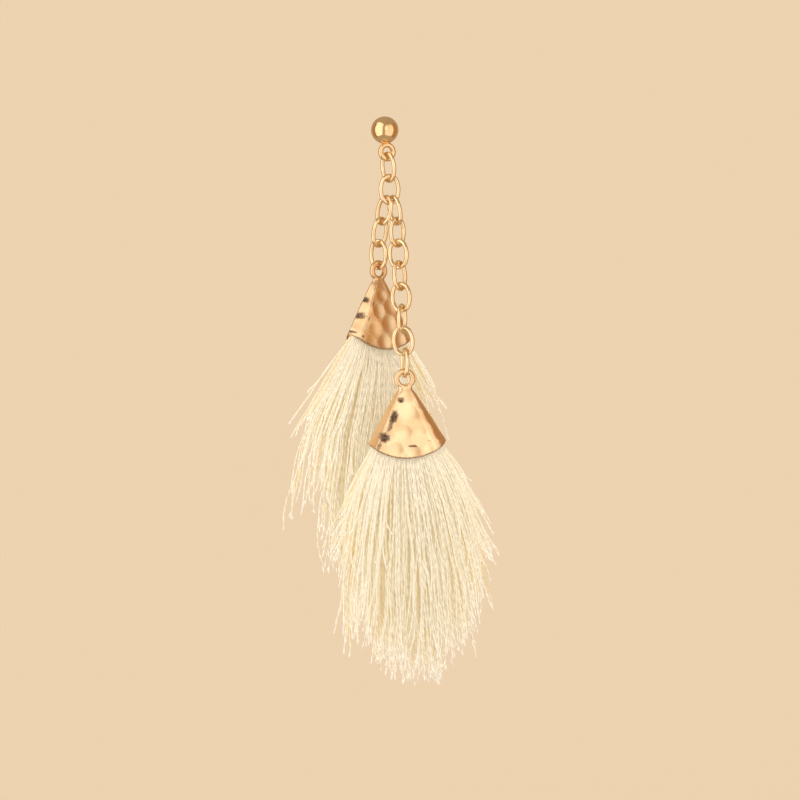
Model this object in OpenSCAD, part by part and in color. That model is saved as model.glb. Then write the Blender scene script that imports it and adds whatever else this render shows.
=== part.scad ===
// Drop earring: a ball stud, two oval-link chains of unequal length, and a
// fan-shaped hammered cap with a thread tassel at the end of each chain.
// The origin is on the post's axis, where the ball meets the ear lobe.
// The post runs along +Y, and the earring is seen from -Y.

/* [Stud] */
// Diameter of the ball
ball_d = 4; // [3:0.1:6]
// Diameter of the post that goes through the lobe
post_d = 0.8; // [0.6:0.05:1.1]
// Length of the post behind the lobe's face
post_len = 10; // [8:0.5:12]
// Outer diameter of the ring soldered under the ball
ring_d = 2.8; // [2.6:0.1:4]
// Wire diameter of that ring
ring_wire = 0.75; // [0.5:0.05:0.9]
// How far the ring sinks into the ball where it is soldered
ring_sink = 0.22; // [0.1:0.02:0.4]
// How far the ring sits to the side of the ball's centre
ring_side = 0.32; // [0:0.05:0.8]
// Twist of the ring about the vertical
ring_twist = 28; // [0:1:60]

/* [Chain] */
// Outer length of a link
link_len = 4.58; // [4.2:0.05:6]
// Outer width of a link
link_w = 3.34; // [3.2:0.05:4.2]
// Radius of a link's ends, to the middle of its wire
link_end_r = 1.2; // [1.1:0.02:1.3]
// Wire diameter of a link
link_wire = 0.62; // [0.5:0.02:0.7]
// Clearance between pieces that hang in each other
hang_gap = 0.08; // [0.06:0.01:0.12]
// Distance between the two chains on the link that carries both
chain_split = 0.78; // [0.74:0.02:0.86]

/* [Caps] */
// Distance from the eye's centre to the middle of the cap's mouth
cap_r = 11.5; // [10:0.1:16]
// Distance from the eye's centre to the start of the cap's neck
neck_r = 1.25; // [1.1:0.05:1.4]
// Half angle of the cap's fan
cap_angle = 32; // [28:0.5:38]
// Thickness of the cap at its mouth
cap_thick = 3.6; // [3.2:0.1:6]
// Thickness of the cap's neck, inside the eye's wire
neck_thick = 0.7; // [0.5:0.05:0.8]
// Wall of the cap
cap_wall = 0.55; // [0.4:0.05:0.8]
// Depth of the hammer dents
dent_depth = 0.16; // [0:0.02:0.25]
// Outer diameter of the cap's eye
eye_d = 3.1; // [2.9:0.1:4]
// Wire diameter of the cap's eye
eye_wire = 0.77; // [0.6:0.05:0.9]
// Twist of the short drop about the vertical
short_twist = 40; // [30:1:50]
// Twist of the long drop about the vertical
long_twist = 5; // [0:1:10]
// Lean of the long drop to the side
long_roll = 2.4; // [0:0.2:4]

/* [Tassels] */
// Length of the longest threads below the cap's mouth
tassel_len = 32.8; // [20:0.5:45]
// Thickness of a tassel where it is fullest
tassel_puff = 6.2; // [4:0.2:7]
// Drop over which the threads' spread settles to the vertical
spread_drop = 19; // [12:1:30]
// Twist of the short tassel's lower part about the vertical
short_settle = 17; // [8:1:24]
// Twist of the long tassel's lower part about the vertical
long_settle = 11; // [4:1:16]
// Clearance between a tassel's head and its cap
head_gap = 0.12; // [0.08:0.02:0.25]
// Distance from the eye's centre to the top of a tassel's head
head_r = 5; // [4.5:0.1:7]
// Width of a lock where it is widest
lock_w = 3.1; // [2:0.1:4]
// Thickness of a lock where it is thickest
lock_t = 1.7; // [1:0.1:2]

/* [Hidden] */
UP = [0, 0, 1];

// Links that carry both chains, then the short chain and the long chain.
// Each row is one link: twist about the vertical, lean of its top to the
// right, and lean of its top towards the wearer, all in degrees.
TWIST = 0;
SIDE = 1;
BACK = 2;
SHARED_CHAIN = [[-52, -5.6, 0], [20, 0, 0]];
SHORT_CHAIN = [[-48, 12.3, -4], [48, 6, -6], [-38, 0, -6]];
LONG_CHAIN = [
    [-58, -12, 4], [47, 2, 8], [-25, -6, 11], [54, 0, 12],
    [-22, -6, 12], [70, 2, 12], [-6, -7, 10], [-74, 0, 8]
];

// Profile of a cap: share of the way from neck to mouth, share of the fan
// angle, share of that angle taken by the flat face, share of the thickness
// gained from the neck.
CAP_ROWS = [
    [0.00, 1.10, 0.60, 0.00],
    [0.05, 1.16, 0.64, 0.34],
    [0.12, 1.14, 0.70, 0.46],
    [0.20, 1.10, 0.74, 0.52],
    [0.30, 1.07, 0.77, 0.59],
    [0.40, 1.05, 0.79, 0.66],
    [0.50, 1.04, 0.80, 0.73],
    [0.60, 1.03, 0.80, 0.79],
    [0.70, 1.02, 0.80, 0.85],
    [0.80, 1.01, 0.80, 0.90],
    [0.90, 1.01, 0.80, 0.95],
    [1.00, 1.00, 0.80, 1.00]
];

// Hammer dents on a cap's front, and the same turned round on its back:
// share of the way down, share of the half width, share of the dents' reach
// and share of the dents' depth.
DENTS = [
    [0.17, -0.42, 0.55, 0.9], [0.40, -0.66, 0.60, 1.0],
    [0.72, -0.72, 0.60, 1.0], [0.34, 0.15, 1.00, 0.7],
    [0.55, 0.50, 1.00, 0.8], [0.60, -0.15, 1.10, 0.7],
    [0.80, 0.30, 1.00, 0.6], [0.86, -0.30, 1.00, 0.8],
    [0.78, 0.85, 0.90, 0.8], [0.93, 0.62, 0.80, 0.6]
];
DENT_WIDTH = 0.36;
dent_reach = cap_thick * DENT_WIDTH;

// Places across one half of a cap's section, as shares from the ridge on one
// side (0) over the bevel (1), the flat face (1 to 2) and the far bevel (3)
ACROSS = [
    0, 0.3, 0.6, 0.92, 1.06, 1.18, 1.3, 1.42, 1.54, 1.66, 1.78, 1.9, 2.02, 2.1, 2.4, 2.7
];
OUTER_STEPS = 17;
INNER_STEPS = 6;
// How much shorter the cap is at its corners than in the middle, as a share
mouth_sag = 0.05;

// Thickness of a tassel as a share of its fullest, by share of its length
PUFF = [[0, 0.42], [0.1, 0.66], [0.3, 0.98], [0.55, 1], [0.8, 0.8], [1, 0.5]];
// Length of each tassel's threads, as a share, by share of the fan angle
SHORT_LENGTHS = [
    [-1, 0.55], [-0.8, 0.76], [-0.6, 0.92], [-0.3, 0.99], [0, 1],
    [0.35, 0.95], [0.6, 0.8], [0.8, 0.56], [1, 0.38]
];
LONG_LENGTHS = [
    [-1, 0.64], [-0.8, 0.82], [-0.6, 0.92], [-0.3, 0.98], [0, 1],
    [0.35, 0.97], [0.62, 0.92], [0.8, 0.76], [1, 0.56]
];
// Width and thickness of a lock, as shares, by share of its own length
LOCK_TAPER = [[0, 0.42], [0.12, 0.6], [0.4, 1], [0.7, 0.9], [0.9, 0.56], [1, 0.12]];
LOCK_STEPS = [0, 0.08, 0.2, 0.4, 0.62, 0.82, 1];
// The full middle of a tassel: share of its length, and how far it reaches
// to each side as a share of the fan angle
CORE_ROWS = [
    [0, 0.84], [0.06, 0.86], [0.13, 0.88], [0.22, 0.88], [0.34, 0.84],
    [0.46, 0.74], [0.58, 0.62], [0.7, 0.5], [0.8, 0.38]
];
CORE_PLACES = [-1, -0.75, -0.4, 0, 0.4, 0.75, 1];
// Places of the locks: share of the fan angle, share of the thickness, and
// the lock's share of the length that its place gives it
LOCKS = [
    [-0.92, -0.30, 1.00], [-0.66, -0.80, 0.94], [-0.42, -0.95, 1.00],
    [-0.20, -1.00, 0.93], [0.02, -1.00, 0.99], [0.25, -1.00, 0.95],
    [0.47, -0.92, 1.00], [0.70, -0.76, 0.95], [0.94, -0.25, 1.00],
    [-0.80, 0.52, 0.97], [-0.54, 0.88, 1.00], [-0.28, 1.00, 0.94],
    [-0.04, 1.00, 1.00], [0.20, 1.00, 0.95], [0.44, 0.92, 0.99],
    [0.68, 0.78, 0.96], [0.86, 0.42, 1.00],
    [-0.34, -0.05, 0.97], [0.12, 0.05, 1.00], [0.50, -0.05, 1.01]
];
// How closely the threads are packed in the mouth, across the fan
mouth_pack = 0.74;
// How much a tassel thins towards its two sides
side_thin = 0.8;
// Share of the threads' length over which a tassel turns to its settled twist
settle_share = 0.4;
// How far a lock starts above the mouth, inside the head
lock_root = 1.2;
// Shares of a lock's thickness: how far its middle lies inside the tassel's
// surface, and how far the full middle rises between the locks
lock_sink = 0.4;
core_rise = 0.16;
lock_sides = 6;

ball_r = ball_d / 2;
ring_r = (ring_d - ring_wire) / 2;
eye_r = (eye_d - eye_wire) / 2;
link_a = (link_len - link_wire) / 2;
link_b = (link_w - link_wire) / 2;
end_rise = link_a - link_end_r;
side_r = (pow(link_b, 2) + pow(end_rise, 2) - pow(link_end_r, 2))
    / (2 * (link_b - link_end_r));
side_shift = side_r - link_b;
join_angle = atan2(end_rise, side_shift);
// The sides of a link are a trace thinner than its ends and run on into them
side_wire = link_wire * 0.97;
side_lap = 3;

head_share = (head_r - neck_r) / (cap_r - neck_r);
cavity_share = head_share - 2 * head_gap / cap_r;

ring_centre = [ring_side, -ball_r, ring_sink - ball_r - ring_d / 2];
shared = chain(SHARED_CHAIN, ring_centre - UP * ring_r, ring_wire);
carrier = tail(shared, SHARED_CHAIN);
bend_r = link_end_r - hung(link_wire);
split_rise = bend_r - sqrt(pow(bend_r, 2) - pow(chain_split / 2, 2));
split = [cos(SHARED_CHAIN[1][TWIST]), sin(SHARED_CHAIN[1][TWIST]), 0] * chain_split / 2;
short = chain(SHORT_CHAIN, carrier - split + UP * split_rise, link_wire);
long = chain(LONG_CHAIN, carrier + split + UP * split_rise, link_wire);
short_eye = tail(short, SHORT_CHAIN) + UP * (hung(eye_wire) - eye_r);
long_eye = tail(long, LONG_CHAIN) + UP * (hung(eye_wire) - eye_r);

LINK_NODES = concat(
    [for (i = [1 : len(SHARED_CHAIN)]) str("shared_link_", i)],
    [for (i = [1 : len(SHORT_CHAIN)]) str("short_link_", i)],
    [for (i = [1 : len(LONG_CHAIN)]) str("long_link_", i)]
);

$fn = 48;

// How far the middle of a wire sits above the link wire that it hangs on
function hung(wire) = (wire + link_wire) / 2 + hang_gap;

// Direction of a link's long axis, pointing up
function axis(row) = [
    sin(row[SIDE]) * cos(row[BACK]), sin(row[BACK]), cos(row[SIDE]) * cos(row[BACK])
];

// Centres of the links of a chain that hangs on a wire centred at `from`
function chain(rows, from, wire, i = 0) =
    i == len(rows) ? [] :
    let(centre = from + UP * hung(wire) - axis(rows[i]) * link_a)
    concat([centre], chain(rows, centre - axis(rows[i]) * link_a, link_wire, i + 1));

// Middle of the wire at the foot of a chain's last link
function tail(centres, rows) =
    let(last = len(rows) - 1) centres[last] - axis(rows[last]) * link_a;

// Point of a cap's outer skin: t is the share of the way to the mouth, u
// runs 0 to 3 across one side, and inset is how far the point is moved in
function cap_point(t, u, side, inset) =
    let(fan = cap_angle * table(CAP_ROWS, t, 1))
    let(face = fan * table(CAP_ROWS, t, 2))
    let(half = (neck_thick + (cap_thick - neck_thick) * table(CAP_ROWS, t, 3)) / 2)
    let(turn = u < 1 ? -fan + (fan - face) * u
        : u < 2 ? face * (2 * u - 3) : face + (fan - face) * (u - 2))
    let(depth = half * min(u, 1, 3 - u))
    let(r = neck_r + (cap_r - neck_r) * t - cap_r * mouth_sag * pow(t * turn / fan, 2))
    let(shrink = 1 - inset / max(inset, r * sin(fan)))
    let(lower = depth * (1 - inset / half))
    [
        r * sin(turn) * shrink,
        side * (lower - (inset > 0 ? 0 : dent(t, turn / fan * side))),
        -r * cos(turn)
    ];

// Depth of the hammering at a place on the cap
function dent(t, across) =
    let(r = neck_r + (cap_r - neck_r) * t)
    dent_depth * sum([for (d = DENTS)
        let(gap = norm([(t - d[0]) * cap_r, (across + d[1]) * r * sin(cap_angle)]))
        d[3] * exp(-pow(gap / (dent_reach * d[2]), 2))]);

// A closed ring of points round the cap at one level
function cap_ring(t, inset) = concat(
    [for (u = ACROSS) cap_point(t, u, -1, inset)],
    [for (u = ACROSS) let(p = cap_point(t, u, 1, inset)) [-p[0], p[1], p[2]]]
);

// Value of a table's column at t, in a straight line between its rows
function table(rows, t, column) = lookup(t, [for (row = rows) [row[0], row[column]]]);

function sum(values, i = 0) =
    i == len(values) - 1 ? values[i] : values[i] + sum(values, i + 1);

// Middle of a ring of points
function middle(ring) = sum(ring) / len(ring);

// A tube through rings of points, closed at both ends round the ring's middle
module tube(rings) {
    n = len(rings[0]);
    ends = [len(rings) * n, len(rings) * n + 1];
    polyhedron(
        points = concat(
            [for (ring = rings) each ring],
            [middle(rings[0]), middle(rings[len(rings) - 1])]
        ),
        faces = [for (r = [0 : len(rings) - 1], i = [0 : n - 1])
            let(a = r * n + i, b = r * n + (i + 1) % n)
            each concat(
                r == 0 ? [[ends[0], b, a]] : [],
                r < len(rings) - 1 ? [[a, b, b + n], [a, b + n, a + n]] : [[ends[1], a, b]]
            )]
    );
}

// Place of a thread in a tassel, `drop` below the cap's mouth: fan is its
// share of the fan angle and across its share of the thickness
function thread_point(fan, across, drop, settle) =
    let(turn = cap_angle * fan)
    let(start = cap_r - cap_r * mouth_sag * pow(fan, 2))
    let(fall = max(drop, 0))
    let(spread = tan(turn) * spread_drop * (1 - exp(-fall / spread_drop)))
    let(root = start * sin(turn * mouth_pack) * (1 + min(drop, 0) / start))
    let(half = puff(drop) * sqrt(1 - side_thin * pow(min(abs(fan), 1), 2)))
    let(turned = settled(drop, settle))
    let(x = root + spread)
    let(y = across * half)
    [
        x * cos(turned) - y * sin(turned),
        x * sin(turned) + y * cos(turned),
        -start * cos(turn * mouth_pack) - drop
    ];

// How far a tassel has turned about the vertical at a drop
function settled(drop, settle) =
    settle * min(max(drop, 0) / (tassel_len * settle_share), 1);

// How far the locks' middles lie from the tassel's middle plane at a drop
function puff(drop) =
    let(room = cap_thick / 2 - cap_wall - head_gap - lock_t * LOCK_TAPER[0][1] / 2)
    let(full = tassel_puff / 2 * lookup(drop / tassel_len, PUFF) - lock_t * lock_sink)
    drop <= lock_root / 2 ? room : max(full, room);

module arc(radius, wire, from, to) {
    rotate_extrude(angle = to - from, start = from)
        translate([radius, 0])
            circle(d = wire);
}

// One oval link of four arcs, centred at the origin with its length upright
module oval_link() {
    half_side = join_angle + side_lap;
    rotate([90, 0, 0]) {
        translate([0, end_rise])
            arc(link_end_r, link_wire, join_angle, 180 - join_angle);
        translate([0, -end_rise])
            arc(link_end_r, link_wire, 180 + join_angle, 360 - join_angle);
        translate([-side_shift, 0])
            arc(side_r, side_wire, -half_side, half_side);
        translate([side_shift, 0])
            arc(side_r, side_wire, 180 - half_side, 180 + half_side);
    }
}

module hung_link(row, centre) {
    color("#e8c184")
        translate(centre)
            rotate([-row[BACK], row[SIDE], 0])
                rotate([0, 0, row[TWIST]])
                    oval_link();
}

module wire_ring(radius, wire) {
    rotate([90, 0, 0])
        rotate_extrude()
            translate([radius, 0])
                circle(d = wire);
}

module ear_stud() {
    color("#edc78c") {
        translate([0, -ball_r, 0])
            sphere(r = ball_r);
        translate([0, -ball_r, 0])
            rotate([-90, 0, 0])
                cylinder(d = post_d, h = ball_r + post_len - post_d / 2);
        translate([0, post_len - post_d / 2, 0])
            sphere(d = post_d);
        translate(ring_centre)
            rotate([0, 0, ring_twist])
                wire_ring(ring_r, ring_wire);
    }
}

// A cap, hanging from the centre of its eye
module cap() {
    outer = [for (i = [0 : OUTER_STEPS]) cap_ring(i / OUTER_STEPS, 0)];
    inner = [for (i = [INNER_STEPS : -1 : 0])
        cap_ring(1 - (1 - cavity_share) * (1 - i / INNER_STEPS), cap_wall)];
    color("#dba463") {
        tube(concat(outer, inner));
        wire_ring(eye_r, eye_wire);
    }
}

// The part of a tassel that fills its cap, from head_r down to the mouth
module tassel_head() {
    inset = cap_wall + head_gap;
    tube([for (i = [0 : INNER_STEPS + 1])
        cap_ring(head_share + (1 - head_share) * i / INNER_STEPS, inset)]);
}

// The full middle of a tassel, which the locks are half sunk into
module tassel_core(settle) {
    rings = [for (row = CORE_ROWS)
        let(drop = row[0] * tassel_len - lock_root)
        let(full = 1 + lock_t * core_rise / puff(drop))
        concat(
            [for (place = CORE_PLACES) thread_point(place * row[1], -full, drop, settle)],
            [for (place = CORE_PLACES) thread_point(-place * row[1], full, drop, settle)]
        )];
    for (i = [0 : len(rings) - 2])
        hull()
            tube([rings[i], rings[i + 1]]);
}

// One lock of threads, tapering to its tip
module lock(place, settle, lengths) {
    reach = tassel_len * lookup(place[0], lengths) * place[2] + lock_root;
    rings = [for (s = LOCK_STEPS)
        let(centre = thread_point(place[0], place[1], s * reach - lock_root, settle))
        let(size = lookup(s, LOCK_TAPER))
        let(turned = settled(s * reach, settle))
        [for (k = [0 : lock_sides - 1])
            let(a = 360 * k / lock_sides)
            let(x = lock_w / 2 * size * cos(a), y = lock_t / 2 * size * sin(a))
            centre + [
                x * cos(turned) - y * sin(turned),
                x * sin(turned) + y * cos(turned), 0
            ]]];
    tube(rings);
}

module tassel(settle, lengths) {
    color("#f2ecd2") {
        tassel_head();
        tassel_core(settle);
        for (place = LOCKS)
            lock(place, settle, lengths);
    }
}

module short_drop() {
    translate(short_eye)
        rotate([0, 0, short_twist])
            children();
}

module long_drop() {
    translate(long_eye)
        rotate([0, 0, long_twist])
            rotate([0, -long_roll, 0])
                children();
}

module short_cap() { short_drop() cap(); }
module long_cap() { long_drop() cap(); }
module short_tassel() { short_drop() tassel(short_settle - short_twist, SHORT_LENGTHS); }
module long_tassel() { long_drop() tassel(long_settle - long_twist, LONG_LENGTHS); }

ear_stud();
for (i = [0 : len(shared) - 1])
    hung_link(SHARED_CHAIN[i], shared[i]);
for (i = [0 : len(short) - 1])
    hung_link(SHORT_CHAIN[i], short[i]);
for (i = [0 : len(long) - 1])
    hung_link(LONG_CHAIN[i], long[i]);
short_cap();
short_tassel();
long_cap();
long_tassel();
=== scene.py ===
# %% [markdown]
# # A tassel earring
#
# Two short chains hang from a ring soldered under a polished ball, and each chain carries a
# hammered fan-shaped cap with a tassel of silky thread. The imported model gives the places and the
# sizes, and this lesson gives it its looks: the gold of the castings, the hammer marks, the dark
# pits that the polishing wheel missed, and every thread of the tassels.

import math

import bpy
import numpy as np
from mathutils import Matrix, Vector


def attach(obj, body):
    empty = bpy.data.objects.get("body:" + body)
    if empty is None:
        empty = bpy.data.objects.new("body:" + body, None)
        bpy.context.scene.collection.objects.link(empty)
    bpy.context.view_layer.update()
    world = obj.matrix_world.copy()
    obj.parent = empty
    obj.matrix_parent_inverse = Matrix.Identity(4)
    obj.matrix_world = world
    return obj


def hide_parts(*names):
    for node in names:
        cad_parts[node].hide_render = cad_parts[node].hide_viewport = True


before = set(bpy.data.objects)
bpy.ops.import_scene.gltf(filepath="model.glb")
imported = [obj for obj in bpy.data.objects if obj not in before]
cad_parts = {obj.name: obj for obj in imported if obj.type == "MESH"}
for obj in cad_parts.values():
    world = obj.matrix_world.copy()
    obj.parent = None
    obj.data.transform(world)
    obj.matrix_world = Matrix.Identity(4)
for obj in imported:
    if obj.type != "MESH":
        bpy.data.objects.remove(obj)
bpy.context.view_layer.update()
MM = 0.001
FRONT, BACK = -1, 1
print("nodes from the packed model:", len(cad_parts))


def deselect():
    """Nothing is selected, so that the next operator works on its own piece alone."""
    if bpy.context.object and bpy.context.object.mode != "OBJECT":
        bpy.ops.object.mode_set(mode="OBJECT")
    bpy.ops.object.select_all(action="DESELECT")


def pick(*pieces):
    """Selects these pieces, and makes the last one active."""
    deselect()
    for piece in pieces:
        piece.select_set(True)
    bpy.context.view_layer.objects.active = pieces[-1]


def choose_edges(piece, test):
    """Leaves the piece in edit mode, with the edges selected whose two points pass a test."""
    pick(piece)
    bpy.ops.object.mode_set(mode="EDIT")
    bpy.ops.mesh.select_mode(type="EDGE")
    bpy.ops.mesh.select_all(action="DESELECT")
    bpy.ops.object.mode_set(mode="OBJECT")
    points = piece.data.vertices
    for edge in piece.data.edges:
        edge.select = test(*(points[i].co for i in edge.vertices))
    bpy.ops.object.mode_set(mode="EDIT")


def every_edge(a, b):
    """True for all edges."""
    return True


def upright(a, b):
    """True for an edge that runs up the side of a new cylinder, whose height is 1."""
    return abs(a.z - b.z) > 0.5


# %% [markdown]
# ## Camera
#
# The earring hangs in front of the lens, seen straight on. A long lens at the distance of an arm
# keeps the caps free of perspective, as in a product photograph. Two measures tie the picture to
# the model: the pixel of the middle of the ball, and how many pixels a millimetre takes.

# %% Camera
BALL_PX = (384.8, 130.7)
PX_PER_MM = 6.85
IMAGE_PX = 800
CAMERA_DISTANCE = 0.9
SENSOR_MM = 36

middle_x = (IMAGE_PX / 2 - BALL_PX[0]) / PX_PER_MM * MM
middle_z = (BALL_PX[1] - IMAGE_PX / 2) / PX_PER_MM * MM
view_width = IMAGE_PX / PX_PER_MM * MM
deselect()
bpy.ops.object.camera_add(
    location=(middle_x, -CAMERA_DISTANCE, middle_z), rotation=(math.pi / 2, 0, 0))
camera = bpy.context.object
camera.name = "camera"
camera.data.sensor_width = SENSOR_MM
camera.data.lens = SENSOR_MM * CAMERA_DISTANCE / view_width
camera.data.clip_start = 0.01
bpy.context.scene.camera = camera
bpy.context.scene.view_settings.view_transform = "Standard"
print("lens in mm:", round(camera.data.lens, 1))


# %% [markdown]
# ## Shader sums written as Python
#
# A finish is a small sum: a mask times a colour, one minus a mask, noise added to a roughness.
# Nodes could be linked one by one, which is long to read. Instead one small class wraps a socket,
# so that `1 - mask * 0.4` adds its Math nodes by itself, and one method adds any other node. Some
# nodes have several sockets of one name, so the ones in use are given by their number here.

# %% A socket that can be reckoned with
MIX_MASK, MIX_A, MIX_B, MIX_COLOUR = 0, 6, 7, 2
STORED_NUMBER = 2


class Wire:
    """An output socket of a node tree, on which Python's own signs work."""

    def __init__(self, tree, socket=None):
        self.tree = tree
        self.socket = socket

    def node(self, kind, settings=None, values=None, output=0):
        """Any node: its settings first, then the values or links of its sockets."""
        made = self.tree.nodes.new("ShaderNode" + kind)
        for name, value in (settings or {}).items():
            setattr(made, name, value)
        for name, value in (values or {}).items():
            if isinstance(value, Wire):
                self.tree.links.new(value.socket, made.inputs[name])
            else:
                made.inputs[name].default_value = value
        return Wire(self.tree, made.outputs[output])

    def sum(self, operation, *values):
        """One Math node on these values or wires."""
        return self.node("Math", {"operation": operation}, dict(enumerate(values)))

    def __add__(self, other): return self.sum("ADD", self, other)
    def __radd__(self, other): return self.sum("ADD", other, self)
    def __sub__(self, other): return self.sum("SUBTRACT", self, other)
    def __rsub__(self, other): return self.sum("SUBTRACT", other, self)
    def __mul__(self, other): return self.sum("MULTIPLY", self, other)
    def __rmul__(self, other): return self.sum("MULTIPLY", other, self)

    def wrap(self):
        """Up and down between 0 and 1, again and again."""
        return self.sum("PINGPONG", self, 1.0)

    def between(self, low, high):
        """0 below the low value, 1 above the high one, and smooth between."""
        settings = {"interpolation_type": "SMOOTHSTEP"}
        return self.node("MapRange", settings, {"Value": self, "From Min": low, "From Max": high})

    def mix(self, colour_a, colour_b):
        """The two colours mixed by this mask."""
        values = {MIX_MASK: self, MIX_A: colour_a, MIX_B: colour_b}
        return self.node("Mix", {"data_type": "RGBA"}, values, output=MIX_COLOUR)


def noise(at, scale, detail=3.0, roughness=0.5):
    """Cloudy noise of about 0 to 1 at these coordinates."""
    values = {"Vector": at, "Scale": scale, "Detail": detail, "Roughness": roughness}
    return at.node("TexNoise", {}, values)


def stored(start, name):
    """A number stored on the points of the piece."""
    return start.node("Attribute", {"attribute_name": name}, output=STORED_NUMBER)


def bump(height, strength, distance):
    """A fine relief that the light alone sees."""
    values = {"Height": height, "Strength": strength, "Distance": distance}
    return height.node("Bump", {}, values)


def finish(name, constants):
    """A new material, its shader with these constants, and a Wire to start its sums from."""
    material = bpy.data.materials.new(name)
    material.use_nodes = True
    tree = material.node_tree
    shader = tree.nodes["Principled BSDF"]
    for socket, value in constants.items():
        shader.inputs[socket].default_value = value
    return material, shader, Wire(tree)


def feed(shader, wire, socket):
    """Links a sum to one of the shader's sockets."""
    wire.tree.links.new(wire.socket, shader.inputs[socket])


print("signs that work on a socket: + - *")

# %% [markdown]
# ## The golds
#
# The parts are cast and drawn in a cheap alloy and plated with a peach-coloured gold. The ball is
# polished to a mirror, the links are tumbled until they shine, and the caps are satin. Plating is
# thin and never even: it is a little browner where the barrel didn't reach. A metal's colour is
# its reflection colour, so the base colour is the gold itself and the warm room does the rest.

# %% Plated gold for ball and chain
FINE_GRAIN = 1500.0
BALL_PALE, BALL_DEEP = (0.96, 0.73, 0.44, 1), (0.88, 0.61, 0.33, 1)
CHAIN_PALE, CHAIN_DEEP = (0.98, 0.80, 0.54, 1), (0.90, 0.67, 0.40, 1)


def plated_gold(name, pale, deep, roughness, cloud):
    """A bright plating that goes a little browner and duller in soft clouds."""
    material, shader, start = finish(name, {"Metallic": 1.0})
    at = start.node("TexCoord", output="Object")
    clouds = noise(at, cloud, 4.0).between(0.35, 0.7)
    feed(shader, clouds.mix(pale, deep), "Base Color")
    feed(shader, roughness + clouds * 0.06 + noise(at, FINE_GRAIN, 2.0) * 0.02, "Roughness")
    return material


ball_gold = plated_gold("polished_gold", BALL_PALE, BALL_DEEP, roughness=0.13, cloud=500.0)
chain_gold = plated_gold("chain_gold", CHAIN_PALE, CHAIN_DEEP, roughness=0.12, cloud=700.0)
for name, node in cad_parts.items():
    if "link" in name or name == "ear_stud":
        gold = chain_gold if "link" in name else ball_gold
        for slot in node.material_slots:
            slot.material = gold
print("golds made:", ball_gold.name, chain_gold.name)


# %% Hammered gold for the caps
CAP_PALE, CAP_DEEP = (0.95, 0.72, 0.47, 1), (0.88, 0.61, 0.35, 1)
# STAIN and PIT_BROWN: tarnish round the pits, and painted shade at the mouth and in the eye.
STAIN, PIT_BROWN = (0.36, 0.26, 0.18, 1), (0.08, 0.05, 0.035, 1)


def hammered_gold():
    """Satin gold: tarnish in the pits, painted shade at the mouth and in the eye."""
    material, shader, start = finish("hammered_gold", {"Metallic": 1.0})
    at = start.node("TexCoord", output="Object")
    tarnish_and_shade = stored(start, "tarnish_and_shade")
    clouds = noise(at, 420.0, 4.0).between(0.3, 0.75)
    edge = noise(at, 3800.0, 4.0, 0.75) - 0.5
    stain = (tarnish_and_shade + edge * 0.9).between(0.1, 0.8)
    # Darkest in the pits' tarnish, and where the painted shade is strongest at the mouth and in the
    # eye.
    dark = (tarnish_and_shade + edge * 2.2).between(0.5, 1.2)
    gold = stain.mix(clouds.mix(CAP_PALE, CAP_DEEP), STAIN)
    feed(shader, dark.mix(gold, PIT_BROWN), "Base Color")
    feed(shader, 0.27 + clouds * 0.06 + stain * 0.15, "Roughness")
    feed(shader, bump(noise(at, FINE_GRAIN, 2.0), 0.1, 0.00005), "Normal")
    return material


cap_gold = hammered_gold()
print("cap finish made:", cap_gold.name)

# %% [markdown]
# ## The hammered caps
#
# Each cap is a casting: a fan, flat or a little crowned on both faces, with a sharp ridge down one
# side of a face and a soft one down the other, and corners that are just rounded. It is hollow and
# open at the mouth, in one with the eye that it hangs by. It could be cut out of a block, but a
# tube shaped row by row keeps the ridges where they belong. A tube is added, cut into rows, and
# each row is drawn out to the cap's own section. The top is closed, the wall is given its
# thickness, and a ring is set on it. All of it is in millimetres from the middle of the eye.

# %% The cap's sizes
EYE_D, EYE_WIRE = 3.1, 0.77
CAP_R, NECK_R = 11.5, 1.25
CAP_ANGLE = math.radians(32)
CAP_THICK, NECK_THICK, CAP_WALL = 3.6, 0.76, 0.55
MOUTH_SAG, CORNER, CORNER_POWER = 0.05, 0.02, 12
SOFT_SHARE, SOFT_POWER, CROWN_RISE = 0.42, 2.4, 2

# Down the cap, from neck to mouth: the fan's width, the flat share of a face, and the thickness.
CAP_T = (0, 0.05, 0.12, 0.2, 0.3, 0.5, 0.7, 0.8, 0.9, 1)
CAP_FAN = (1.10, 1.16, 1.14, 1.10, 1.07, 1.04, 1.02, 1.01, 1.01, 1)
CAP_FACE = (0.60, 0.64, 0.70, 0.74, 0.77, 0.80, 0.80, 0.80, 0.80, 0.80)
CAP_FULL = (0, 0.10, 0.22, 0.35, 0.48, 0.68, 0.82, 0.88, 0.94, 1)


def cap_half(t):
    """Half the cap's thickness, from its neck at 0 to its mouth at 1."""
    return (NECK_THICK + (CAP_THICK - NECK_THICK) * np.interp(t, CAP_T, CAP_FULL)) / 2


def cap_skin(t, side, face, crown):
    """A point of the cap's skin. Side goes from -1 to 1 across the fan."""
    fan = side * np.interp(t, CAP_T, CAP_FAN)
    sag = MOUTH_SAG * (t * fan) ** 2 + CORNER * (t * abs(side)) ** CORNER_POWER
    radius = NECK_R + (CAP_R - NECK_R) * t - CAP_R * sag
    if side * face < 0:
        bulge = 1 - (1 - min((1 - abs(side)) / SOFT_SHARE, 1)) ** SOFT_POWER
    else:
        bulge = min((1 - abs(side)) / (1 - np.interp(t, CAP_T, CAP_FACE)), 1)
    depth = cap_half(t) * bulge + crown * min(t * CROWN_RISE, 1) * (1 - side ** 2)
    turn = CAP_ANGLE * fan
    return Vector((radius * math.sin(turn), face * depth, -radius * math.cos(turn)))


print("cap's half thickness at the mouth:", cap_half(1.0))

# %% The cap as a tube, shaped row by row
AROUND, ROWS = 96, 48
CLOSING_RISE = 0.09
EYE_ROUND, WIRE_ROUND = 72, 36


def first_row(a, b):
    """True for an edge of the ring of points at the neck."""
    return min(a.z, b.z) > -NECK_R - 0.01 and max(a.length, b.length) < NECK_R + 0.06


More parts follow.
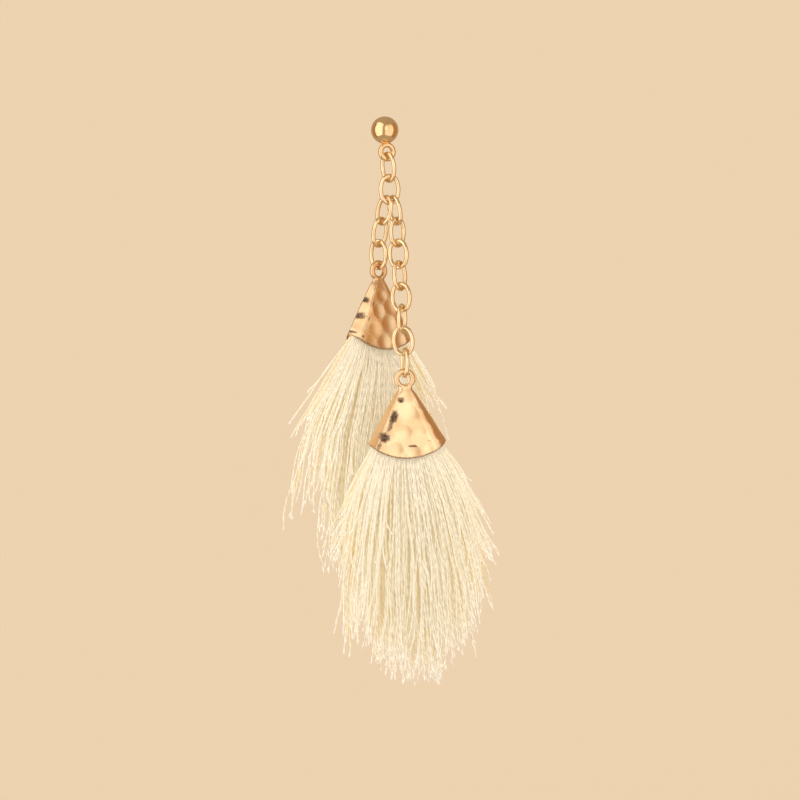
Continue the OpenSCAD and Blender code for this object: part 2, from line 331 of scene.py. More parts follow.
def shaped_cap(name, crown):
    """An open fan with its wall, closed at the neck, with its eye: still as cast."""
    deselect()
    bpy.ops.mesh.primitive_cylinder_add(
        vertices=AROUND, radius=1, depth=1, end_fill_type="NOTHING")
    cap = bpy.context.object
    cap.name = name
    choose_edges(cap, upright)
    bpy.ops.mesh.subdivide(number_cuts=ROWS - 1)
    bpy.ops.object.mode_set(mode="OBJECT")
    for point in cap.data.vertices:
        bearing = math.atan2(point.co.y, point.co.x) / math.pi
        face = FRONT if bearing < 0 else BACK
        point.co = cap_skin(0.5 - point.co.z, 1 - 2 * abs(bearing), face, crown)
    choose_edges(cap, first_row)
    bpy.ops.mesh.extrude_region_move(TRANSFORM_OT_translate={"value": (0, 0, CLOSING_RISE)})
    bpy.ops.mesh.merge(type="CENTER")
    bpy.ops.mesh.select_all(action="SELECT")
    bpy.ops.mesh.normals_make_consistent(inside=False)
    bpy.ops.object.mode_set(mode="OBJECT")
    wall = cap.modifiers.new("wall", "SOLIDIFY")
    wall.thickness = CAP_WALL
    wall.offset = -1
    pick(cap)
    bpy.ops.object.modifier_apply(modifier=wall.name)
    deselect()
    bpy.ops.mesh.primitive_torus_add(
        major_radius=(EYE_D - EYE_WIRE) / 2, minor_radius=EYE_WIRE / 2,
        major_segments=EYE_ROUND, minor_segments=WIRE_ROUND, rotation=(math.pi / 2, 0, 0))
    pick(bpy.context.object, cap)
    bpy.ops.object.join()
    return cap


print("points of the tube:", AROUND * (ROWS + 1))

# %% [markdown]
# In the mould the eye and the cap are one, and metal runs round between them. A bevel can't follow
# where a ring meets a fan, so a fine remesh makes them one skin, and gives enough points for the
# hammer marks. Then the skin is softened: most at the neck, and along the two ridges that the
# polishing wheel has rounded.

# %% Eye and cap as one skin
VOXEL = 0.095
SOFTENING = 0.5
SOFTENING_TURNS = {"neck": 36, "ridge": 60, "": 4}


def by_neck(point):
    """True where the cap runs into its eye."""
    return 0.9 < -point.z and point.length < 2.3


def on_soft_ridge(point):
    """True near the two ridges that the polishing wheel has rounded."""
    reach = math.hypot(point.x, point.z)
    share = math.atan2(point.x, -point.z) / CAP_ANGLE
    return 2.2 < reach < CAP_R * 0.93 and point.y * share < 0 and 0.6 < abs(share) < 1.02


def run_together(cap):
    """Remeshes the casting fine, so that eye and cap are one skin, and softens it."""
    pick(cap)
    cap.data.remesh_voxel_size = VOXEL
    cap.data.use_remesh_preserve_volume = True
    bpy.ops.object.voxel_remesh()
    for title, test in (("neck", by_neck), ("ridge", on_soft_ridge)):
        group = cap.vertex_groups.new(name=title)
        group.add([p.index for p in cap.data.vertices if test(p.co)], 1.0, "REPLACE")
    for title, turns in SOFTENING_TURNS.items():
        soften = cap.modifiers.new("soften", "SMOOTH")
        soften.factor = SOFTENING
        soften.iterations = turns
        soften.vertex_group = title
        bpy.ops.object.modifier_apply(modifier=soften.name)


print("a voxel is", VOXEL, "mm, and the wall is", CAP_WALL, "mm")

# %% [markdown]
# A hammer mark is a shallow bowl, and where two bowls meet they leave a ridge. So a face's depth is
# the deepest of its bowls, not their sum. The marks that catch the light are named by their place,
# in millimetres from the middle of the eye, and the rest are scattered between them. The pits are
# smaller and deeper. A number stored on each point darkens the metal: tarnish in the pits, tarnish
# with painted shade along the edge of the mouth, and painted shade inside the eye.

# %% Hammer marks
BLUNT = 3.0
TRIES = 80


def scatter(named, rand):
    """More marks on both faces, where they keep clear of each other and of the named ones."""
    marks = []
    for face in (FRONT, BACK):
        for _ in range(TRIES):
            reach = CAP_R * math.sqrt(rand.uniform(0.12, 1.05))
            turn = rand.uniform(-1, 1) * CAP_ANGLE
            spot = (reach * math.sin(turn), -reach * math.cos(turn))
            width = rand.uniform(1.9, 3.0)
            others = [m for m in marks + named if m[4] == face]
            if all(math.dist(spot, m[:2]) > 0.5 * (width + m[2]) * 0.7 for m in others):
                marks.append((*spot, width, rand.uniform(0.03, 0.06), face))
    return marks


def bowls(at, side, marks):
    """How deep each point lies in the marks. Two bowls blend a little where they meet."""
    depth = np.zeros(len(at))
    for x, z, width, deep, face in marks:
        away = np.hypot(at[:, 0] - x, at[:, 2] - z) / (width / 2)
        bowl = deep * np.clip(1 - away ** 2, 0, 1) ** 1.5 * (side == face)
        depth += bowl ** BLUNT
    return depth ** (1 / BLUNT)


print("places tried for a mark on each face:", TRIES)

# %% Pits, and painted shade along the edges
RIM_DARK, EYE_DARK = 0.22, 0.2


def pit(at, x, z, long, wide, lean):
    """How far each point is from a pit's middle, where 1 is its wandering edge."""
    c, s = math.cos(math.radians(lean)), math.sin(math.radians(lean))
    along = ((at[:, 0] - x) * s + (at[:, 2] - z) * c) / (long / 2)
    across = ((at[:, 0] - x) * c - (at[:, 2] - z) * s) / (wide / 2)
    bearing = np.arctan2(along, across)
    wander = 0.1 * np.sin(3 * bearing + x), 0.08 * np.sin(7 * bearing + z)
    return np.sqrt(along ** 2 + across ** 2) + wander[0] + wander[1]


def edge_shade_and_tarnish(at, radius):
    """Painted shade and some tarnish along the mouth, and painted shade inside the eye."""
    fan = np.clip(np.arctan2(at[:, 0], -at[:, 2]) / CAP_ANGLE, -1, 1)
    rim = CAP_R * (1 - MOUTH_SAG * fan ** 2) - radius
    mouth = 0.6 * np.clip(1.5 - rim / RIM_DARK, 0, 1)
    eye = 0.5 * np.clip((EYE_D / 2 - EYE_WIRE - radius) / EYE_DARK + 0.6, 0, 1)
    return mouth + eye


def hammer(cap, marks, pits, seed):
    """Pushes bowls into both faces and pits into the front; stores tarnish and painted shade."""
    data = cap.data
    at = np.empty(len(data.vertices) * 3)
    normal = np.empty(len(at))
    data.vertices.foreach_get("co", at)
    data.vertex_normals.foreach_get("vector", normal)
    at = at.reshape(-1, 3)
    radius = np.hypot(at[:, 0], at[:, 2])
    side = np.sign(at[:, 1])
    outer = np.clip(normal.reshape(-1, 3)[:, 1] * side * 4, 0, 1)
    outer *= np.clip((radius - NECK_R - 0.8) / 1.2, 0, 1)
    named = [(*mark, FRONT) for mark in marks]
    depth = bowls(at, side, named + scatter(named, np.random.default_rng(seed)))
    # Painted shade along the mouth and inside the eye, with some tarnish at the mouth.
    tarnish_and_shade = edge_shade_and_tarnish(at, radius)
    for x, z, long, wide, lean, deep, stain in pits:
        away = pit(at, x, z, long, wide, lean)
        inside = np.clip((1.85 - away) / 1.2, 0, 1) * (side == FRONT)
        hollow = deep * np.clip(1.1 - away ** 2, 0, 1) ** 0.8 * (side == FRONT)
        depth = np.maximum(depth, hollow)
        tarnish_and_shade = np.maximum(tarnish_and_shade, stain * inside * outer)
    at[:, 1] -= side * depth * outer
    data.vertices.foreach_set("co", at.reshape(-1))
    data.attributes.new("tarnish_and_shade", "FLOAT", "POINT").data.foreach_set("value", tarnish_and_shade)
    data.update()


print("width of the dark edge at the mouth, in mm:", RIM_DARK)

# %% [markdown]
# Both caps have one form, but the short one's faces are more crowned, and the marks and pits lie in
# other places on each. So one function makes both from their own short lists. A cap is finished in
# its own millimetres, where those places are easy to read, and is then brought to its eye and
# turned as it hangs. It rides on its drop, so that it swings with it, and it stands for the packed
# model's plainer cap.

# %% The two caps
# The middle of each cap's eye in metres, and its turn in degrees about the vertical and sideways.
EYES = {"short": (-0.000913262, -0.00102929, -0.0204587),
        "long": (0.00290868, -0.00715834, -0.0362821)}
TURNS = {"short": (40.0, 0.0), "long": (5.0, -2.4)}

# A mark on the front: x, z, width and depth. A pit: x, z, length, width, lean, depth and stain.
LONG_MARKS = (
    (0.9, -4.7, 2.9, 0.075), (2.1, -7.0, 2.7, 0.075), (-0.5, -7.7, 2.4, 0.06),
    (-1.9, -10.2, 2.5, 0.075), (0.7, -10.7, 2.3, 0.07), (3.1, -9.8, 2.2, 0.06),
    (1.9, -3.6, 2.0, 0.10), (3.2, -5.6, 2.2, 0.12), (4.7, -7.9, 2.3, 0.12))
LONG_PITS = (
    (-0.75, -2.95, 0.8, 0.7, 70, 0.12, 1.0), (-1.95, -5.5, 1.6, 0.85, 24, 0.16, 1.0),
    (-2.55, -6.8, 1.7, 0.6, 26, 0.03, 0.62), (-3.45, -8.35, 1.1, 1.2, 35, 0.18, 1.0),
    (-4.25, -9.6, 1.3, 0.5, 26, 0.03, 0.62), (0.65, -9.75, 0.3, 1.1, 5, 0.07, 0.75),
    (3.1, -9.1, 0.15, 0.6, 15, 0.04, 0.45))
SHORT_MARKS = (
    (-0.3, -3.7, 2.0, 0.09), (-1.2, -5.9, 2.3, 0.12), (1.1, -5.3, 2.5, 0.11),
    (-2.1, -8.6, 2.6, 0.11), (0.6, -7.8, 2.9, 0.13), (3.0, -7.3, 2.4, 0.12),
    (-0.5, -10.5, 2.6, 0.12), (2.4, -10.1, 2.6, 0.13), (4.7, -9.0, 2.2, 0.11))
SHORT_PITS = (
    (-2.75, -4.2, 0.7, 0.6, 0, 0.14, 1.0), (-4.1, -6.55, 0.8, 1.1, 0, 0.14, 0.9),
    (-5.5, -8.9, 0.3, 1.0, 10, 0.08, 0.85), (-2.0, -4.9, 0.6, 0.25, 30, 0.06, 0.7),
    (-3.1, -7.1, 0.6, 0.25, 30, 0.06, 0.6), (-4.4, -9.6, 0.4, 0.35, 0, 0.06, 0.8))


def place(piece, drop):
    """Moves a finished piece from its own millimetres to its place on the earring."""
    yaw, roll = (math.radians(angle) for angle in TURNS[drop])
    turn = Matrix.Rotation(yaw, 4, "Z") @ Matrix.Rotation(roll, 4, "Y")
    piece.matrix_world = Matrix.Translation(EYES[drop]) @ turn @ Matrix.Scale(MM, 4)
    pick(piece)
    bpy.ops.object.transform_apply(location=True, rotation=True, scale=True)
    bpy.ops.object.shade_smooth()


def count_triangles(piece):
    """Prints how many triangles a finished piece has."""
    piece.data.calc_loop_triangles()
    print(piece.name, "triangles:", len(piece.data.loop_triangles))


def make_cap(drop, crown, marks, pits, seed):
    """One finished cap, riding on its drop."""
    cap = shaped_cap(drop + "_cap_hammered", crown)
    run_together(cap)
    hammer(cap, marks, pits, seed)
    place(cap, drop)
    cap.data.materials.clear()
    cap.data.materials.append(cap_gold)
    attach(cap, drop + "_drop")
    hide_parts(drop + "_cap")
    count_triangles(cap)


make_cap("short", 0.28, SHORT_MARKS, SHORT_PITS, seed=11)
make_cap("long", 0.03, LONG_MARKS, LONG_PITS, seed=23)

# %% [markdown]
# ## The thread
#
# The thread is an ivory artificial silk of two plies, paler on the outside of the tassel, and
# almost white where the cut ends have frayed. Deeper in the tassel it is painted yellower and
# darker: that is painted shade, for the light that reaches the inner threads less. Three numbers
# are stored on
# every point when the tassels are made: the thread's own tone, how deep in the tassel it lies, and
# how near it is to its frayed end. The twist of the plies follows the thread's own map. Light goes
# on through such a thread, and in its place the thread has a painted glow of its own colour, which
# costs less than light that scatters inside thousands of threads.

# %% Silk finish
SILK_PALE, SILK_WARM = (0.99, 0.96, 0.88, 1), (0.97, 0.92, 0.78, 1)
# The first colour on the next line is painted shade for the threads deep in the tassel.
SILK_PAINTED_SHADE, SILK_END = (0.92, 0.77, 0.46, 1), (1.0, 0.97, 0.91, 1)
# Painted glow colours, which stand in for light that goes through the threads.
GLOW, GLOW_END = (0.56, 0.50, 0.37, 1), (0.94, 0.83, 0.69, 1)
PLIES, PLY_TWIST = 2.0, 1.6


def silk():
    """Ivory thread: twist, own tone, painted depth shade, painted glow, paler frayed ends."""
    material, shader, start = finish("ivory_silk", {
        "Sheen Weight": 0.15, "Sheen Roughness": 0.4, "Specular IOR Level": 0.3,
        "Emission Strength": 0.3})
    frayed = stored(start, "frayed")
    pale_end = frayed.between(0.1, 0.9)
    thread_map = start.node("UVMap", {"uv_map": "thread"})
    around = start.node("SeparateXYZ", {}, {"Vector": thread_map}, output="X")
    along = start.node("SeparateXYZ", {}, {"Vector": thread_map}, output="Y")
    ply = (around * PLIES + along * PLY_TWIST).wrap()
    ivory = stored(start, "tone").mix(SILK_PALE, SILK_WARM)
    # Painted shade: threads deep in the tassel are painted yellower and darker.
    ivory = stored(start, "deep").between(0.3, 1.0).mix(ivory, SILK_PAINTED_SHADE)
    feed(shader, pale_end.mix(ivory, SILK_END), "Base Color")
    # Painted glow of the thread's own colour, paler at the frayed ends.
    feed(shader, pale_end.mix(GLOW, GLOW_END), "Emission Color")
    feed(shader, 0.5 + 0.15 * frayed + 0.08 * ply, "Roughness")
    feed(shader, bump(ply, 0.06, 0.00004), "Normal")
    return material


thread_silk = silk()
print("thread finish made:", thread_silk.name)

# %% [markdown]
# ## The tassels
#
# A tassel is a bundle of some hundreds of threads, tied and glued into the cap, that fans out from
# its mouth, draws together in locks towards the ends, and is trimmed into a leaf shape by the many
# lengths of its threads. Hair curves would look right in Blender alone, but they leave no mesh. So
# one thread is modelled, a thin five-sided tube cut into rows, and it is laid along as many paths
# as the tassel has threads, each its own copy. Its end is frayed: two finer three-sided tubes
# spread from it.

# %% One thread and one fibre
def pattern_tube(sides, rows):
    """A tube of unit radius to copy: its points, the row of each, its faces and its map."""
    deselect()
    bpy.ops.mesh.primitive_cylinder_add(vertices=sides, radius=1, depth=1, end_fill_type="TRIFAN")
    tube = bpy.context.object
    choose_edges(tube, upright)
    bpy.ops.mesh.subdivide(number_cuts=rows - 2)
    bpy.ops.object.mode_set(mode="OBJECT")
    points = np.array([p.co[:] for p in tube.data.vertices])
    row = np.rint((0.5 - points[:, 2]) * (rows - 1)).astype(int)
    faces = [list(f.vertices) for f in tube.data.polygons]
    around = np.array([uv.uv[0] for uv in tube.data.uv_layers[0].data])
    bpy.data.objects.remove(tube)
    return points[:, :2], row, faces, around


THREAD_ROWS, FIBRE_ROWS, FIBRES = 24, 5, 2
THREAD = pattern_tube(5, THREAD_ROWS)
FIBRE = pattern_tube(3, FIBRE_ROWS)
print("faces of one thread and one fibre:", len(THREAD[2]), len(FIBRE[2]))

# %% [markdown]
# A thread leaves the cap at its own place across the fan and through its thickness. Near the mouth
# it keeps the slant of the fan, and lower down its weight pulls it to the vertical, so the spread
# grows less and less. The tassel is fullest a little below the mouth, and the loose lower part has
# turned a few degrees about the vertical. All lengths here are in millimetres.

# %% The way a thread falls
TASSEL_LEN, TASSEL_PUFF = 32.8, 6.2
SPREAD_DROP, MOUTH_PACK, SIDE_THIN = 17.5, 0.84, 0.8
SETTLE_SHARE = 0.4
PUFF = np.array(((0, 0.42), (0.1, 0.66), (0.3, 0.98), (0.55, 1), (0.8, 0.8), (1, 0.5)))
MOUTH_HALF, DEEP_HALF, INSIDE, MOUTH_EASE = 1.12, 0.72, 4.0, 2


def fall(drop, fan, across, settle):
    """Where a thread is, this far below the mouth. Fan and across go from -1 to 1."""
    turn = CAP_ANGLE * fan
    start = CAP_R * (1 - MOUTH_SAG * fan ** 2)
    free = np.maximum(drop, 0)
    root = start * np.sin(turn * MOUTH_PACK) * (1 + np.minimum(drop, 0) / start)
    x = root + np.tan(turn) * SPREAD_DROP * (1 - np.exp(-free / SPREAD_DROP))
    puffed = TASSEL_PUFF / 2 * np.interp(free / TASSEL_LEN, PUFF[:, 0], PUFF[:, 1])
    inside = np.interp(drop, (-INSIDE, 0), (DEEP_HALF, MOUTH_HALF))
    outside = MOUTH_HALF + (puffed - MOUTH_HALF) * np.clip(free / MOUTH_EASE, 0, 1)
    half = np.where(drop < 0, inside, outside)
    y = across * half * np.sqrt(1 - SIDE_THIN * np.minimum(np.abs(fan), 1) ** 2)
    turned = settle * np.minimum(free / (TASSEL_LEN * SETTLE_SHARE), 1)
    c, s = np.cos(turned), np.sin(turned)
    z = -start * np.cos(turn * MOUTH_PACK) - drop
    return np.stack((x * c - y * s, x * s + y * c, z), -1)


print("a side thread ends this far out, in mm:", fall(np.array(TASSEL_LEN), 1.0, 0.0, 0.0)[0])

# %% [markdown]
# The bundle fills the whole mouth of the cap, so the threads start from even layers, each moved a
# little. Single random places would leave holes. Once loose, the threads draw together in locks,
# and every lock has a middle and a length of its own.

# %% Where the threads start, and their locks
ACROSS_FAN = 50
LAYERS = np.array((-1.0, -0.9, -0.72, -0.5, -0.22, 0.05, 0.3, 0.55, 0.76, 0.9, 1.0))
THINNED, THINNED_SHIFT = 0.65, 0.6
LOCKS, LOCK_LAYERS, LOCK_FLAT = 110, (-0.9, -0.3, 0.3, 0.9), 0.06


def thread_starts(rand, thin_from):
    """Each thread's place across the fan and through it. Past thin_from most move inwards."""
    fan, across = np.meshgrid(np.linspace(-1, 1, ACROSS_FAN), LAYERS)
    fan = (fan + rand.normal(0, 0.02, fan.shape)).ravel()
    across = (across + rand.normal(0, 0.05, across.shape)).ravel().clip(-1.02, 1.02)
    moved = (fan > thin_from) & (rand.random(len(fan)) < THINNED)
    return np.where(moved, fan - THINNED_SHIFT, fan), across


def thread_locks(rand, fan, across):
    """For each thread, the middle of the nearest lock and what it adds to the length."""
    lock_fan = rand.uniform(-1, 1, LOCKS)
    lock_across = rand.choice(LOCK_LAYERS, LOCKS) + rand.normal(0, 0.1, LOCKS)
    apart = (fan[:, None] - lock_fan) ** 2 + LOCK_FLAT * (across[:, None] - lock_across) ** 2
    lock = np.argmin(apart, axis=1)
    lock_length = rand.normal(0, 0.05, LOCKS)
    return lock_fan[lock], lock_across[lock], lock_length[lock]


print("threads in a tassel:", ACROSS_FAN * len(LAYERS))

# %% [markdown]
# The scissors trim a tassel to its outline, but many threads have slipped up or broken short, so
# the outline is feathered. A few strays stand out from the sides, and those are named one by one,
# by the place and the length that they reach.

# %% How long each thread is
SLIPPED, BROKEN = 0.42, 0.10
STRAY_THREADS, SIDE = 4, 0.88


def thread_lengths(rand, fan, lock_length, lengths, strays):
    """Where each thread ends across the fan, and how far below the mouth."""
    count = len(fan)
    kind = rand.random(count)
    share = 1 - np.abs(rand.normal(0, 0.07, count)) + lock_length
    share = np.where(kind < SLIPPED, rand.uniform(0.55, 0.97, count), share)
    share = np.where(kind < BROKEN, rand.uniform(0.3, 0.7, count), share)
    share = np.clip(share, 0.25, 1.0)
    end_fan = fan + rand.normal(0, 0.18, count)
    lengths = np.array(lengths)
    length = TASSEL_LEN * np.interp(end_fan, lengths[:, 0], lengths[:, 1]) * share
    for tip_fan, tip_length in strays:
        at_side = np.flatnonzero(fan * np.sign(tip_fan) > SIDE)
        stray = rand.choice(at_side, STRAY_THREADS, replace=False)
        end_fan[stray] = tip_fan + rand.normal(0, 0.03, STRAY_THREADS)
        length[stray] = TASSEL_LEN * tip_length * rand.uniform(0.88, 1, STRAY_THREADS)
    return end_fan, length


# The trimmed outline: places across the fan, and the share of the full length there.
SHORT_LENGTHS = (
    (-1, 0.41), (-0.9, 0.52), (-0.84, 0.59), (-0.73, 0.7), (-0.62, 0.81), (-0.52, 0.94),
    (-0.4, 1), (0, 1), (0.35, 0.95), (0.6, 0.72), (0.8, 0.45), (1, 0.28))
LONG_LENGTHS = (
    (-1, 0.36), (-0.83, 0.56), (-0.76, 0.7), (-0.65, 0.79), (-0.5, 0.87), (-0.3, 0.94),
    (0, 0.99), (0.25, 0.96), (0.45, 0.88), (0.61, 0.81), (0.78, 0.66), (1, 0.49))
SHORT_STRAYS = (
    (-1.35, 0.45), (-1.1, 0.6), (-1.0, 0.845), (-0.86, 0.76), (1.27, 0.22), (1.08, 0.31))
LONG_STRAYS = ((1.4, 0.17), (-0.66, 0.86), (1.1, 0.5))
print("stray locks:", len(SHORT_STRAYS), "and", len(LONG_STRAYS))

# %% [markdown]
# No thread falls quite straight: it drifts from its neighbours, keeps a long wave from the skein
# and a fine crimp from its twist, and its last fifth flicks to one side. These add up along the
# path, and each grows from nothing at the mouth, where the threads are still held tight.

# %% The path of each thread
LOOSE = (1.05, 0.55)
FLICK, FLICK_FROM = 0.45, 0.8
WAVE, WAVE_LENGTHS = 0.17, (7, 12)
CRIMP, CRIMP_LENGTHS = 0.018, (3.6, 4.6)
ANY_TURN = 6.3


def ripple(rand, drop, lengths):
    """A wave down each thread, with its own length and its own start."""
    count = len(drop)
    length = rand.uniform(*lengths, count)[:, None]
    return np.sin(drop * 2 * np.pi / length + rand.uniform(0, ANY_TURN, count)[:, None])


def thread_paths(rand, starts, locks, ends, settle, along):
    """The points of every thread from its root in the cap, and how far down each point is."""
    (fan, across), (lock_fan, lock_across, _), (end_fan, length) = starts, locks, ends
    count = len(fan)
    drop = -INSIDE + (length + INSIDE)[:, None] * along
    free = np.clip(drop / TASSEL_LEN, 0, 1)
    pull = (0.1 + 0.35 * rand.random(count))[:, None] * free ** 2
    fans = fan[:, None] + (end_fan - fan)[:, None] * free ** 0.8
    fans = fans + (lock_fan - end_fan)[:, None] * pull
    acrosses = across[:, None] + (lock_across - across)[:, None] * pull * 0.5
    path = fall(drop, fans, acrosses, settle)
    flick = np.clip((along - FLICK_FROM) / 0.2, 0, 1) ** 2
    for axis, loose in enumerate(LOOSE):
        path[:, :, axis] += rand.normal(0, FLICK, count)[:, None] * flick * loose
        drift = rand.normal(0, loose, count)[:, None] * free ** 1.3
        wave = WAVE * ripple(rand, drop, WAVE_LENGTHS) * free ** 0.8
        crimp = CRIMP * ripple(rand, drop, CRIMP_LENGTHS) * np.minimum(free * 8, 1)
        path[:, :, axis] += drift + wave + crimp
    return drop, path


print("looseness to the side and to the front, in mm:", LOOSE)

# %% [markdown]
# Each path now gets its tube. At every point the way on gives a square pair of sides, and the
# pattern's ring is set between them, a little flat and turned as the thread is twisted. The frayed
# fibres start just inside the thread's end and spread from its heading.

# %% Laying the pattern along the paths
THREAD_FLAT = 0.85
THREAD_HALF, THREAD_HALF_VARY, END_NARROW = 0.14, 0.01, 0.8
FIBRE_HALF, FIBRE_END, FIBRE_ROOT = 0.12, 0.7, 0.4
TWIST = 0.8


def lay(pattern, path, width, twist):
    """The points of the pattern's copies, one along each path."""
    points, row = pattern[:2]
    step = np.gradient(path, axis=1)
    step /= np.linalg.norm(step, axis=2, keepdims=True)
    side = np.cross(step, (0.0, 1.0, 0.0))
    side /= np.linalg.norm(side, axis=2, keepdims=True)
    other = np.cross(side, step)
    c, s = np.cos(twist)[:, :, None], np.sin(twist)[:, :, None]
    side, other = side * c + other * s, other * c - side * s
    return path[:, row] + width[:, row, None] * (
        side[:, row] * points[None, :, :1] + other[:, row] * points[None, :, 1:] * THREAD_FLAT)


def frayed_end(rand, drop, path):
    """One fibre for every thread: its laid points, and how far down each of its rows is."""
    count = len(path)
    heading = path[:, -1] - path[:, -2]
    heading /= np.linalg.norm(heading, axis=1, keepdims=True)
    s = np.linspace(0, 1, FIBRE_ROWS)[None, :, None]
    reach = rand.uniform(0.2, 0.9, count)[:, None, None]
    lean, curl = rand.normal(0, 0.09, (count, 1, 3)), rand.normal(0, 0.08, (count, 1, 3))
    root = (path[:, -1] - heading * FIBRE_ROOT)[:, None]
    fibre = root + (heading[:, None] + lean * s + curl * s ** 2) * (reach + FIBRE_ROOT) * s
    width = np.full((count, FIBRE_ROWS), FIBRE_HALF) * np.linspace(1, FIBRE_END, FIBRE_ROWS)
    rows = drop[:, -1:] + s[:, :, 0] * reach[:, 0]
    return lay(FIBRE, fibre, width, rows), rows


def gather(name, groups):
    """One mesh from the laid copies, with the map and the stored numbers of the finish."""
    points, faces, ups, rounds, tones, deeps, frays = [], [], [], [], [], [], []
    start = 0
    for pattern, laid, drop, tone, deep, frayed in groups:
        _, row, shape, around = pattern
        copies, size = laid.shape[:2]
        points.append(laid.reshape(-1, 3))
        corner = np.concatenate([np.array(f) for f in shape])
        for copy in range(copies):
            first = start + copy * size
            faces.extend([first + i for i in face] for face in shape)
        ups.append(drop[:, row[corner]].ravel())
        rounds.append(np.tile(around, copies))
        tones.append(np.repeat(tone, size))
        deeps.append(np.repeat(deep, size))
        frays.append(np.tile(frayed[row], copies))
        start += copies * size
    data = bpy.data.meshes.new(name)
    data.from_pydata(np.concatenate(points).tolist(), [], faces)
    pairs = np.stack((np.concatenate(rounds), np.concatenate(ups)), -1)
    data.uv_layers.new(name="thread").data.foreach_set("uv", pairs.ravel())
    for title, values in (("tone", tones), ("deep", deeps), ("frayed", frays)):
        stored_on = data.attributes.new(title, "FLOAT", "POINT")
        stored_on.data.foreach_set("value", np.concatenate(values))
    piece = bpy.data.objects.new(name, data)
    bpy.context.scene.collection.objects.link(piece)
    return piece


print("thickness of a thread, in mm:", THREAD_HALF * 2)

# %% [markdown]
# Both tassels are bound in the same way. They differ in their trim, their strays, and how far their
# lower part has turned, so one function makes them from a short list of these. The threads could be
# left to chance at every run, but a seed for each tassel keeps it the same.

# %% The two tassels
# For each drop: its lower part's turn, its outline, its strays, and where its side is thinned out.
NO_THINNING = 2.0
FORMS = {"short": (math.radians(-23), SHORT_LENGTHS, SHORT_STRAYS, 0.5),
         "long": (math.radians(6), LONG_LENGTHS, LONG_STRAYS, NO_THINNING)}


def strands(name, form, seed):
    """All threads of one tassel as a single mesh, in millimetres from the middle of the eye."""
    settle, lengths, strays, thin_from = form
    rand = np.random.default_rng(seed)
    starts = thread_starts(rand, thin_from)
    locks = thread_locks(rand, *starts)
    ends = thread_lengths(rand, starts[0], locks[2], lengths, strays)
    along = np.linspace(0, 1, THREAD_ROWS) ** 0.92
    drop, path = thread_paths(rand, starts, locks, ends, settle, along)
    count = len(path)
    width = rand.normal(THREAD_HALF, THREAD_HALF_VARY, count)[:, None] * np.ones(THREAD_ROWS)
    width[:, -1] *= END_NARROW
    twist = drop * TWIST + rand.uniform(0, ANY_TURN, count)[:, None]
    tone = rand.random(count)
    # How deep a thread lies, which the finish turns into painted shade.
    deep = 1 - np.abs(starts[1])
    frayed = np.clip((along - 0.86) * 7, 0, 1) * 0.6
    groups = [(THREAD, lay(THREAD, path, width, twist), drop, tone, deep, frayed)]
    for _ in range(FIBRES):
        groups.append((FIBRE, *frayed_end(rand, drop, path), tone, deep, np.ones(FIBRE_ROWS)))
    return gather(name, groups)


def make_tassel(drop, seed):
    """One tassel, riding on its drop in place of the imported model's plain locks."""
    tassel = strands(drop + "_tassel_threads", FORMS[drop], seed)
    tassel.data.materials.append(thread_silk)
    place(tassel, drop)
    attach(tassel, drop + "_drop")
    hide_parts(drop + "_tassel")
    count_triangles(tassel)


make_tassel("short", seed=5)
make_tassel("long", seed=8)

# %% [markdown]
# ## Floor and backdrop
#
# The picture is high-key: everything behind the earring is one pale warm tone. A lit wall would
# change with each lamp and darken at the sides, so the room is a wide tub whose floor runs up into
# the wall in one sweep, with no edge to see, and it shines by itself, with painted shade that makes
# it a little darker towards the floor. Only the camera sees it, so it throws no light on the metal.

# %% Floor and backdrop
FLOOR_Z, ROOM_R, ROOM_HIGH, SWEEP = -0.7, 1.7, 2.8, 0.6
ROOM_SIDES, SWEEP_ROWS = 96, 20
WALL_LOW, WALL_HIGH = (0.70, 0.51, 0.32, 1), (0.84, 0.64, 0.43, 1)
deselect()
bpy.ops.mesh.primitive_circle_add(
    vertices=ROOM_SIDES, radius=ROOM_R, fill_type="NGON", location=(0, 0, FLOOR_Z))
room = bpy.context.object
room.name = "floor_and_backdrop"
choose_edges(room, every_edge)
bpy.ops.mesh.extrude_region_move(TRANSFORM_OT_translate={"value": (0, 0, ROOM_HIGH)})
choose_edges(room, lambda a, b: abs(a.z) + abs(b.z) < 0.01)
bpy.ops.mesh.bevel(offset=SWEEP, segments=SWEEP_ROWS)
bpy.ops.object.mode_set(mode="OBJECT")
bpy.ops.object.shade_smooth()


def pale_backdrop():
    """A pale warm wall that shines, with painted shade towards the floor, whatever the lamps do."""
    material, shader, start = finish("pale_backdrop", {
        "Base Color": (0.02, 0.015, 0.01, 1), "Roughness": 1.0, "Specular IOR Level": 0.0,
        "Emission Strength": 1.0})
    at = start.node("TexCoord", output="Object")
    height = start.node("SeparateXYZ", {}, {"Vector": at}, output="Z")
    # Painted shade: the wall grows darker towards the floor, broken up by soft noise.
    shade = (height + (noise(at, 1.2, 2.0) - 0.5) * 0.5).between(-0.5, 0.5)
    feed(shader, shade.mix(WALL_LOW, WALL_HIGH), "Emission Color")
    return material


room.data.materials.append(pale_backdrop())
room.visible_diffuse = False
room.visible_glossy = False
room.visible_shadow = False
print("room's width and height in metres:", ROOM_R * 2, ROOM_HIGH)

# %% [markdown]
# ## Light
#
# Polished metal shows what stands round it. Two big softboxes, left and right of the camera, give
# it two bright panes with a darker gap between them, and a small key light above the lens puts a
# spark on the flat of the caps. A third softbox behind the earring lights the silk from the back,
# and is kept out of the metal. Brown cards at both sides are seen in the metal alone, where they
# draw its dark edges.

# %% Lights
AIM = Vector((0, 0, -0.04))
LAMP_AWAY = 1.0


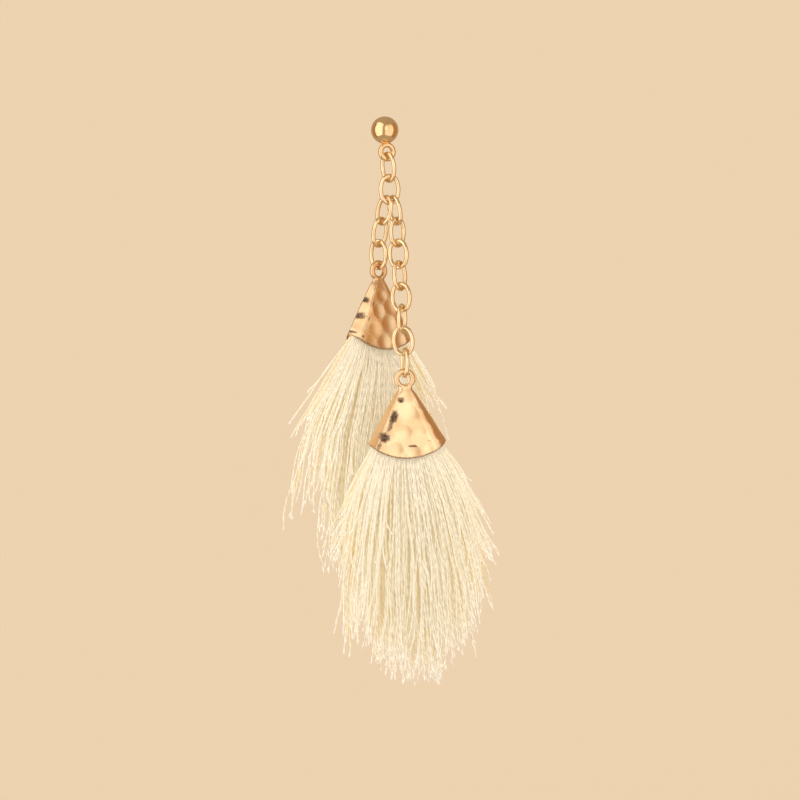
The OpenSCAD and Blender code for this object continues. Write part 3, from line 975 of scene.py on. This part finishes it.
def softbox(name, turn, lift, width, height, watts, colour):
    """A soft light that looks at the earring from this bearing."""
    turn, lift = math.radians(turn), math.radians(lift)
    level = math.cos(lift)
    away = Vector((math.sin(turn) * level, -math.cos(turn) * level, math.sin(lift)))
    deselect()
    bpy.ops.object.light_add(type="AREA", location=AIM + away * LAMP_AWAY)
    lamp = bpy.context.object
    lamp.name = name
    lamp.rotation_euler = away.to_track_quat("Z", "Y").to_euler()
    lamp.data.shape = "RECTANGLE"
    lamp.data.size = width
    lamp.data.size_y = height
    lamp.data.energy = watts
    lamp.data.color = colour
    lamp.visible_camera = False
    return lamp


softbox("left_softbox", -55, 8, 1.45, 2.4, 10.4, (1.0, 0.97, 0.92))
softbox("right_softbox", 40, -2, 1.5, 1.9, 5.8, (1.0, 0.96, 0.9))
softbox("key_light", 13, 15, 0.36, 0.45, 0.28, (1.0, 0.96, 0.88))
back = softbox("back_softbox", 165, 10, 1.4, 1.8, 5.5, (1.0, 0.95, 0.86))
back.visible_glossy = False
print("lamps stand this far from the earring, in metres:", LAMP_AWAY)

# %% Dark cards and the room's own light
CARD_AWAY, CARD_HIGH, CARD_CORNER = 0.8, 1.4, 0.1
ROOM_LIGHT, ROOM_LIGHT_STRENGTH = (1.0, 0.78, 0.53, 1), 0.47
brown = finish("brown_card", {
    "Base Color": (0.58, 0.31, 0.12, 1), "Roughness": 0.9, "Specular IOR Level": 0.1})[0]


def dark_card(name, turn, width):
    """A brown card beside the earring, seen only in the metal, where it draws the dark edges."""
    turn = math.radians(turn)
    spot = (CARD_AWAY * math.sin(turn), -CARD_AWAY * math.cos(turn), AIM.z)
    deselect()
    bpy.ops.mesh.primitive_plane_add(size=1, location=spot, rotation=(math.pi / 2, 0, turn))
    card = bpy.context.object
    card.name = name
    card.scale = (width, CARD_HIGH, 1)
    choose_edges(card, every_edge)
    bpy.ops.mesh.bevel(offset=CARD_CORNER, affect="VERTICES", segments=6)
    bpy.ops.object.mode_set(mode="OBJECT")
    card.data.materials.append(brown)
    card.visible_camera = card.visible_diffuse = card.visible_shadow = False


dark_card("dark_card_right", 104, 0.6)
dark_card("dark_card_left", -103, 0.42)
world = bpy.context.scene.world or bpy.data.worlds.new("studio")
bpy.context.scene.world = world
world.use_nodes = True
background = world.node_tree.nodes["Background"]
background.inputs["Color"].default_value = ROOM_LIGHT
background.inputs["Strength"].default_value = ROOM_LIGHT_STRENGTH
print("cards stand this far from the earring, in metres:", CARD_AWAY)
